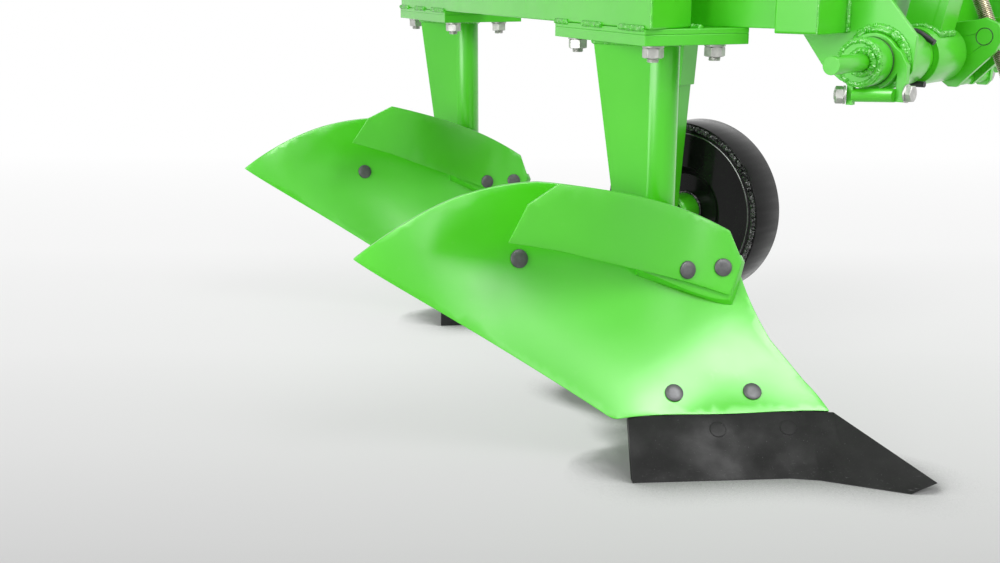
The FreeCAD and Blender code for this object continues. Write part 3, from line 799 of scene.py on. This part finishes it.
# %% Pattern for a low head, and for a flush one


def low_head(name, radius, height, material):
    item = cylinder(radius, height, (0, 0, height / 2), 48)
    edit(item, lambda f: f.normal.z > 0.9)
    bpy.ops.mesh.inset(thickness=radius * 0.08)
    bpy.ops.transform.translate(value=(0, 0, height * 0.35))
    bpy.ops.mesh.inset(thickness=radius * 0.5)
    bpy.ops.transform.translate(value=(0, 0, height * 0.10))
    leave()
    settle(item)
    finish_with(item, "BEVEL", width=height * 0.18, segments=2, angle_limit=math.radians(40))
    item.name = name
    coat(item, material)
    return store(smooth(item, 40))


BOARD_BOLT = low_head("board_bolt", 0.0126, 0.0026, BOLT_HEAD)
SHARE_BOLT = low_head("share_bolt", 0.0112, 0.0006, STEEL)
print("patterns", [s.name for s in STORE])

# %% Where they go, along the cutting edge and up
BOARD_BOLTS = [("tail", -155, 275), ("middle", 55, 90), ("corner", 164, 88)]
DEFLECTOR_BOLTS = [("inner", 81, 247), ("outer", 134.5, 246)]
SHARE_BOLTS = [("left", 108, 51), ("right", 204, 51)]
BOARD_T, DEFLECTOR_STACK = 8 * MM, 26 * MM
IN_FRONT = -300


def front_of(node, a, z, offset):
    """The first point met on a ready-made piece from in front, and the direction it faces."""
    start = edge_at(a, IN_FRONT, z) + offset * MM
    return NODES[node].ray_cast(start, BACK)[1:3]


for body, offset in BODIES.items():
    for piece, places, grip in (("mouldboard", BOARD_BOLTS, BOARD_T),
                                ("deflector", DEFLECTOR_BOLTS, DEFLECTOR_STACK)):
        for name, a, z in places:
            point, normal = front_of(f"{body}_{piece}", a, z, offset)
            copy_to(BOARD_BOLT, f"{body}_{piece}_{name}_bolt", point, normal, "frame")
            copy_to(M12_NUT, f"{body}_{piece}_{name}_nut", point - normal * grip, -normal,
                    "frame", math.radians(a))
    for name, a, z in SHARE_BOLTS:
        point, normal = front_of(f"{body}_share", a, z, offset)
        copy_to(SHARE_BOLT, f"{body}_share_{name}_bolt", point, normal, "frame")
print("plough bolts", 2 * (len(BOARD_BOLTS) + len(DEFLECTOR_BOLTS) + len(SHARE_BOLTS)))

# %% [markdown]
# ## Weld seams
# Most of this frame is welded. A weld is a row of small overlapping ripples, one for each step of
# the electrode. One ripple is modelled, an Array modifier repeats it along the seam and a Curve
# modifier lays it into the corner. A little random play, always the same, makes it hand work.

# %% The line of a seam


def seam(points, closed):
    """A curve object through the points of a seam."""
    curve = bpy.data.curves.new("seam", "CURVE")
    curve.dimensions = "3D"
    spline = curve.splines.new("POLY")
    spline.points.add(len(points) - 1)
    for knot, point in zip(spline.points, points):
        knot.co = (*point, 1)
    spline.use_cyclic_u = closed
    item = bpy.data.objects.new("seam", curve)
    scene.collection.objects.link(item)
    return item


def ring(middle, axis, radius, start=0, end=360, steps=40):
    """Points on part of a circle round an axis; angles are from straight up."""
    axis = axis.normalized()
    up = (UP - axis * axis.dot(UP)).normalized()
    across = axis.cross(up)
    turns = [math.radians(start + (end - start) * i / steps) for i in range(steps + 1)]
    return [middle + up * math.cos(t) * radius + across * math.sin(t) * radius for t in turns]


print("seam helpers ready")

# %% The rippled bead
RIPPLE = 0.0026
RIPPLE_NECK, RIPPLE_LEAN = 0.80, 0.16  # its ends narrow to this, its middle leans on by this


def weld(name, points, radius, body, seed, closed=False, material=WELD_GREEN, slot="frame_paint",
         rough=0.16):
    """A rippled bead of a given radius that follows the points."""
    bpy.ops.mesh.primitive_cylinder_add(vertices=10, radius=radius, depth=RIPPLE,
                                        rotation=(0, math.pi / 2, 0))
    item = settle(bpy.context.object)
    item.data.transform(Matrix.Translation((RIPPLE / 2, 0, 0)))
    edit(item, lambda f: abs(f.normal.x) > 0.9)
    bpy.ops.mesh.delete(type="ONLY_FACE")
    edit(item, lambda e: abs(item.data.vertices[e.vertices[0]].co.x
                             - item.data.vertices[e.vertices[1]].co.x) > RIPPLE / 2, "EDGE")
    bpy.ops.mesh.subdivide(number_cuts=1)
    leave()
    for vertex in item.data.vertices:
        if abs(vertex.co.x - RIPPLE * 0.5) > RIPPLE * 0.4:
            vertex.co.yz *= RIPPLE_NECK
        else:
            vertex.co.x += RIPPLE * RIPPLE_LEAN
    line = seam(points, closed)
    nexts = points[1:] + points[:1] if closed else points[1:]
    length = sum((b - a).length for a, b in zip(points, nexts))
    ripples = int(length / RIPPLE) + (1 if closed else -1)
    finish_with(item, "ARRAY", fit_type="FIXED_COUNT", count=max(2, ripples),
                use_merge_vertices=True, merge_threshold=0.0002)
    finish_with(item, "CURVE", object=line, deform_axis="POS_X")
    edit(item)
    bpy.ops.mesh.select_all(action="SELECT")
    bpy.ops.mesh.remove_doubles(threshold=0.00005)
    bpy.ops.mesh.fill_holes(sides=0)
    bpy.ops.transform.vertex_random(offset=radius * rough, seed=seed)
    bpy.ops.mesh.normals_make_consistent(inside=False)
    leave()
    bpy.data.objects.remove(line)
    item.name = item.data.name = name
    coat(item, material)
    smooth(item, 70)
    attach(item, body)
    return item


print("one ripple is", RIPPLE, "m long")

# %% Seams between the beam and its plates, with gaps, and round the leg tops
PLATE_TOP, PLATE_BEAD = 575, 0.0042
PLATE_SEAMS = {"front": [(2, 74), (126, 186), (236, 278)],
               "rear": [(2, 78), (120, 180), (224, 278)]}
LEG_L, LEG_HALF, LEG_NOSE, LEG_REAR = 100, 25, -19, -140
for body, offset in BODIES.items():
    for index, ends in enumerate(PLATE_SEAMS[body]):
        for seam_name, across, seed in (("plate_weld", -0.5, 1), ("plate_inner_weld", 81, 4)):
            line = [beam_at(along, across, PLATE_TOP + 1) + offset * MM for along in ends]
            weld(f"{body}_{seam_name}_{index + 1}", line, PLATE_BEAD, "frame", seed=index + seed)
    nose = [at(LEG_NOSE - LEG_HALF + LEG_HALF * math.sin(math.radians(t)),
               LEG_L - LEG_HALF * math.cos(math.radians(t)), PLATE_BOTTOM - 1)
            for t in range(0, 181, 12)]
    outline = ([at(LEG_REAR, LEG_L - LEG_HALF, PLATE_BOTTOM - 1)] + nose
               + [at(LEG_REAR, LEG_L + LEG_HALF, PLATE_BOTTOM - 1)])
    weld(f"{body}_leg_top_weld", [p + offset * MM for p in outline], PLATE_BEAD, "frame",
         closed=True, seed=7)
print("seams on the beam done")

# %% [markdown]
# ## Welds of the headstock
# The headstock is the same on both sides of the tractor's centre line, so its paired seams are
# laid out once on the right and reflected. A ring seam runs round every turned part that goes
# through or ends on a plate. Where two passes meet, round the bearings, the metal stands higher
# and rougher.

# %% The shaft's axis and the reflection
HITCH_L = 482
shaft_low, shaft_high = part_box("cross_shaft")
SHAFT_X, SHAFT_Z = (shaft_low.x + shaft_high.x) / 2, (shaft_low.z + shaft_high.z) / 2
SHAFT_R = (shaft_high.z - shaft_low.z) / 2
SHAFT_END_L = 141
LEFT = Vector((0, 1, 0))


def on_shaft(l):
    return Vector((SHAFT_X, at(0, l, 0).y, SHAFT_Z))


def reflected(points):
    """The same points on the other side of the tractor's centre line."""
    middle = at(0, HITCH_L, 0).y
    return [Vector((p.x, 2 * middle - p.y, p.z)) for p in points]


def weld_pair(name, points, radius, body, **how):
    weld(f"right_{name}", points, radius, body, **how)
    weld(f"left_{name}", reflected(points), radius, body, **how)


print("shaft radius", round(SHAFT_R, 4), "at", round(SHAFT_X, 4), round(SHAFT_Z, 4))

# %% Ring seams on the bearings: where, radius of the ring, and radius of the bead
HAND_ROUGH = 0.34
FIRST_L, FIRST_RING, FIRST_BEAD = 188.5, 0.0385, 0.0050
SECOND_L, SECOND_RING, SECOND_BEAD = 189.4, 0.0428, 0.0034
weld_pair("bearing_weld", ring(on_shaft(FIRST_L), LEFT, FIRST_RING, -75, 140), FIRST_BEAD,
          "frame", seed=3, rough=0.24)
weld_pair("bearing_second_weld", ring(on_shaft(SECOND_L), LEFT, SECOND_RING, -40, 110),
          SECOND_BEAD, "frame", seed=5, rough=HAND_ROUGH)
print("bearing seams", FIRST_RING, SECOND_RING)

# %% Ring seams on the shaft's rim and the hitch pin
RIM_L, RIM_IN, RIM_BEAD = SHAFT_END_L + 2.5, 0.0036, 0.0044
PIN_SHIFT = Vector((5, 0, 1)) * MM  # the pin sits off the shaft's centre
PIN_RING, PIN_BEAD = 0.0140, 0.0052
weld_pair("shaft_rim_weld", ring(on_shaft(RIM_L), LEFT, SHAFT_R - RIM_IN), RIM_BEAD,
          "cross_shaft", closed=True, seed=6, rough=HAND_ROUGH)
weld_pair("pin_weld", ring(on_shaft(SHAFT_END_L) + PIN_SHIFT, LEFT, PIN_RING), PIN_BEAD,
          "cross_shaft", closed=True, seed=8, rough=HAND_ROUGH)
print("the shaft's rim seam has a radius of", round(SHAFT_R - RIM_IN, 4), "m")

# %% Dark ring in the shaft's groove, its near-black painted shade for the gap
GROOVE_L, GROOVE_RING, SHADE_RING_R = 174.2, 0.0268, 0.0017
SHADE_RING_CREST, SHADE_RING_SWELL = 0.8, 1.06  # the outer part of the bar swells by this much
right_groove = on_shaft(GROOVE_L)
for side_name, centre in (("right", right_groove), ("left", reflected([right_groove])[0])):
    shade_ring = hoop(f"{side_name}_shaft_groove_shade_ring", GROOVE_RING, SHADE_RING_R, centre, 64, 12)
    edit(shade_ring, lambda v: math.hypot(v.co.x - centre.x, v.co.z - centre.z)
         > GROOVE_RING + SHADE_RING_R * SHADE_RING_CREST, "VERT")
    bpy.ops.transform.resize(value=(SHADE_RING_SWELL, 1.0, SHADE_RING_SWELL), center_override=centre)
    leave()
    # near-black ring: painted shade in the groove
    coat(smooth(shade_ring, 60), GAP_SHADE)
    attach(shade_ring, "cross_shaft")
print("shade_ring", [round(d, 4) for d in shade_ring.dimensions])

# %% Foot of each mast post on its sleeve
SLEEVE_F, SLEEVE_Z, SLEEVE_SKIN = 220, 537, 38.5
POST_SIDE_L, POST_FRONT_F, POST_FOOT_Z = 312, 247, 566
foot = [at(SLEEVE_F + f, POST_SIDE_L, SLEEVE_Z + math.sqrt(SLEEVE_SKIN ** 2 - f ** 2))
        for f in range(-26, 27, 4)]
foot += [at(POST_FRONT_F, l, POST_FOOT_Z) for l in range(316, 362, 9)]
weld_pair("mast_foot_weld", foot, 0.0046, "frame", seed=9, rough=0.26)
print("points round a mast post", len(foot))

# %% Cross tube, its open end and the cheeks
TUBE_BEAD, OPEN_END_BEAD, NOSE_BEAD, THIN_ROUGH = 0.0040, 0.0013, 0.0015, 0.3
TUBE_HEIGHTS = (571, 610, 651)
weld_pair("cheek_weld", [at(178.5, 188.5, z) for z in TUBE_HEIGHTS], TUBE_BEAD, "frame", seed=10)
weld_pair("tube_end_weld", [at(177, 112, z) for z in TUBE_HEIGHTS], OPEN_END_BEAD, "frame",
          seed=11, rough=THIN_ROUGH)
BEAM_NOSE, BEAM_CORNER = at(14, 0, 0).x - 0.0006, at(0, -6.6, 0).y
for index, heights in enumerate([(577, 596), (603, 612), (618, 653)]):
    weld(f"beam_nose_weld_{index + 1}",
         [Vector((BEAM_NOSE, BEAM_CORNER, z * MM)) for z in heights], NOSE_BEAD, "frame",
         seed=12 + index, rough=THIN_ROUGH)
print("beam nose at", round(BEAM_NOSE, 4))

# %% Round the front end of the side rail
RAIL_F = 115.5
RAIL_SEAMS = [("right", [(128, 577), (128, 615), (128, 651)]),
              ("left", [(210, 577), (210, 615), (210, 651)]),
              ("top", [(130, 653.5), (170, 653.5), (208, 653.5)])]
for index, (side_name, places) in enumerate(RAIL_SEAMS):
    weld(f"rail_weld_{side_name}", [at(RAIL_F, l, z) for l, z in places], TUBE_BEAD, "frame",
         seed=16 + index)
print("headstock seams done")

# %% [markdown]
# ## Tie bolts
# A tie bolt holds the keeper collar to a lug on the end of the shaft, with a spacer tube between.
# It runs slantwise, so its nut follows the line of the tube, and its head sits square on the
# front of the tail bar.

# %% Heads and nuts of the ties
TIE_START, TIE_END = at(210, 145, 497), at(262, 180, 497)
TIE_NUT_OUT = 0.0060
tie_line = (TIE_END - TIE_START).normalized()
TAIL_FACE, LEVER_TIE_END = at(267.2, 178, 500), at(237, 506.2, 501)
FORWARD = Vector((1, 0, 0))
for side_name, flip in (("right", 1), ("left", -1)):
    nut, head = TIE_START - tie_line * TIE_NUT_OUT, TAIL_FACE
    if flip < 0:
        nut, head = reflected([nut, head])
    back = -Vector((tie_line.x, tie_line.y * flip, 0))
    copy_to(M12_FLUSH, f"{side_name}_keeper_bolt_nut", nut, back, "cross_shaft", 0.2)
    copy_to(M12_HEAD, f"{side_name}_keeper_bolt_head", head, FORWARD, "cross_shaft", 0.5)
copy_to(M12_NUT, "lever_tie_nut", LEVER_TIE_END, LEFT, "cross_shaft", 0.3)
print("ties", round((TIE_END - TIE_START).length, 3), "m long")

# %% [markdown]
# ## Adjusting screw
# The screw that levels the plough is a long bar with a thread cut all the way, plated yellow. The
# ready-made bar is smooth, so a threaded one takes its place, with the round stop collar that
# rests on the bracket.

# %% The screw
SCREW_LEAN = math.radians(25)
screw_line = Vector((-math.sin(SCREW_LEAN), 0, math.cos(SCREW_LEAN)))
TRUNNION = at(275, 423, 561)
SCREW_LOW, COLLAR_AT, SCREW_HIGH = -60, 330, 395
SCREW_R, SCREW_PITCH, SCREW_POINT = 0.010, 0.0025, 0.0016
COLLAR_R, COLLAR_HEIGHT, COLLAR_SLOPE = 0.020, 0.022, 0.0018
screw = threaded_bar(SCREW_R, SCREW_PITCH, (SCREW_HIGH - SCREW_LOW) * MM, steps=16,
                     point=SCREW_POINT)
collar = turned_blank(COLLAR_R, COLLAR_HEIGHT, COLLAR_SLOPE, COLLAR_SLOPE)
collar.data.transform(Matrix.Translation((0, 0, (COLLAR_AT - SCREW_LOW) * MM)))
screw = smooth(joined("threaded_screw", screw, collar), NUT_SMOOTH)
screw.data.transform(Matrix.Translation(TRUNNION + screw_line * SCREW_LOW * MM)
                     @ stand(screw_line))
coat(screw, THREAD)
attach(screw, "frame")
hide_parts("adjusting_screw")
print("screw faces", len(screw.data.polygons), [round(d, 3) for d in screw.dimensions])

# %% [markdown]
# ## Depth wheel
# The rim is a rolled hoop welded to a dished disc. The seam was laid quickly and painted over, so
# it glitters in the black gloss, and its grey flecks are painted glints. Just inside it the disc
# has a pressed lip, made grey metal with pale painted edges, so it shows as one thin line of light:
# a painted highlight.

# %% Wheel seam, lip and hub seam
wheel_low, wheel_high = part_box("depth_wheel")
WHEEL_RADIUS = (wheel_high.z - wheel_low.z) / 2
RIM_SEAM_IN, RIM_SEAM_BEAD = 0.0072, 0.0056
LIP_IN, LIP_BAR, LIP_PRESSED = 0.0185, 0.0020, 0.0006
HUB_SEAM_RING, HUB_SEAM_BEAD = 0.0315, 0.0028
wheel_mid = (wheel_low + wheel_high) / 2
hub_face = Vector((wheel_mid.x, wheel_low.y, wheel_mid.z))
weld("wheel_rim_weld", ring(hub_face + LEFT * 0.0016, LEFT, WHEEL_RADIUS - RIM_SEAM_IN, steps=90),
     RIM_SEAM_BEAD, "depth_wheel", closed=True, seed=21, material=WELD_BLACK,
     slot="wheel_paint", rough=0.38)
lip = hoop("wheel_disc_lip", WHEEL_RADIUS - LIP_IN, LIP_BAR, hub_face + LEFT * 0.0022, 120, 10)
edit(lip, lambda v: v.co.y < hub_face.y + 0.0016, "VERT")
bpy.ops.transform.translate(value=(0, LIP_PRESSED, 0))
leave()
# grey metal with pale painted edges on a black disc: a painted highlight line
coat(smooth(lip, 60), LIP)
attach(lip, "depth_wheel")
weld("wheel_hub_weld", ring(hub_face + LEFT * 0.019, LEFT, HUB_SEAM_RING), HUB_SEAM_BEAD,
     "depth_wheel", closed=True, seed=22, material=WELD_BLACK, slot="wheel_paint", rough=0.25)
print("wheel radius", round(WHEEL_RADIUS, 4))

# %% [markdown]
# ## Landside bolts
# Each landside is held to the frog by three countersunk bolts, filed flush by the furrow wall.

# %% Flush bolts in the landsides
LANDSIDE_BOLTS, LANDSIDE_BOLT_Z, PROUD = (0.14, 0.36, 0.58), 0.046, 0.00005
for body in BODIES:
    low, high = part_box(f"{body}_landside")
    for index, share_way in enumerate(LANDSIDE_BOLTS):
        place = Vector((high.x - share_way * (high.x - low.x), high.y + PROUD, LANDSIDE_BOLT_Z))
        copy_to(SHARE_BOLT, f"{body}_landside_bolt_{index + 1}", place, LEFT, "frame")
print("landside bolts", len(LANDSIDE_BOLTS) * len(BODIES))

# %% [markdown]
# ## Nose bars
# The share and the board meet in an open joint. A small bar behind it closes it, as the nose of
# a casting would. What is really there can't be seen: only a dark line shows between the two, and
# the bar's near-black is painted shade for that line.
# A cube is stretched to the bar in edit mode, bevelled, and turned to lie in the joint.

# %% Nose bar behind the joint of share and board
NOSE_MIDDLE = Vector((0.4818, -0.1318, 0.0674))
NOSE_LENGTH, NOSE_WIDTH, NOSE_DEPTH, NOSE_BACK = 0.032, 0.013, 0.003, 0.0052
NOSE_ROUND = 0.0010
along_joint = EDGE.normalized()
out_of_joint = Vector((0.38, -0.51, 0.77)).normalized()
up_joint = out_of_joint.cross(along_joint).normalized()
out_of_joint = along_joint.cross(up_joint).normalized()
for body, offset in BODIES.items():
    bpy.ops.object.select_all(action="DESELECT")
    bpy.ops.mesh.primitive_cube_add(size=1, location=(0, 0, 0))
    nose = bpy.context.object
    nose.name = nose.data.name = f"{body}_nose_bar"
    edit(nose, lambda v: True, "VERT")
    bpy.ops.transform.resize(value=(NOSE_LENGTH, NOSE_WIDTH, NOSE_DEPTH),
                             center_override=(0, 0, 0))
    leave()
    finish_with(nose, "BEVEL", width=NOSE_ROUND, segments=2)
    turn = Matrix((along_joint, up_joint, out_of_joint)).transposed().to_4x4()
    place = NOSE_MIDDLE - out_of_joint * NOSE_BACK + offset * MM
    nose.data.transform(Matrix.Translation(place) @ turn)
    # near-black coat: painted shade for the dark line in the joint
    coat(nose, GAP_SHADE)
    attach(nose, "frame")
    print(nose.name, [round(c, 3) for c in nose.dimensions])

# %% [markdown]
# ## The trunnion pin's joint line
# A thin dark ring lies in the line where the pin turns in the lever's ears, on both ears: painted
# shade for the gap of that joint.

# %% Joint lines on the lever's ears
JOINT_SHADE = plated("joint_shade_line", (0.006, 0.010, 0.005), (0.014, 0.020, 0.010), 0.3, 0.5, 0.0)
LINE_RING, LINE_BAR = 0.0112, 0.0006
ears_low, ears_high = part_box("lever_ears")
for name, y, side in (("right", ears_low.y, -1), ("left", ears_high.y, 1)):
    line = hoop(f"{name}_trunnion_joint_line", LINE_RING, LINE_BAR,
                (TRUNNION.x, y, TRUNNION.z), 48, 6)
    edit(line, lambda v: (v.co.y - y) * side > LINE_BAR / 2, "VERT")
    bpy.ops.transform.translate(value=(0, -side * 0.0002, 0))
    leave()
    # dark ring: painted shade in the joint's gap
    coat(smooth(line, 60), JOINT_SHADE)
    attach(line, "cross_shaft")
print("joint lines at", round(TRUNNION.x, 3), round(TRUNNION.z, 3))

# %% [markdown]
# ## Clearing away
# The pattern pieces have served, so they go.

# %% Finish
for pattern in STORE:
    bpy.data.objects.remove(pattern)
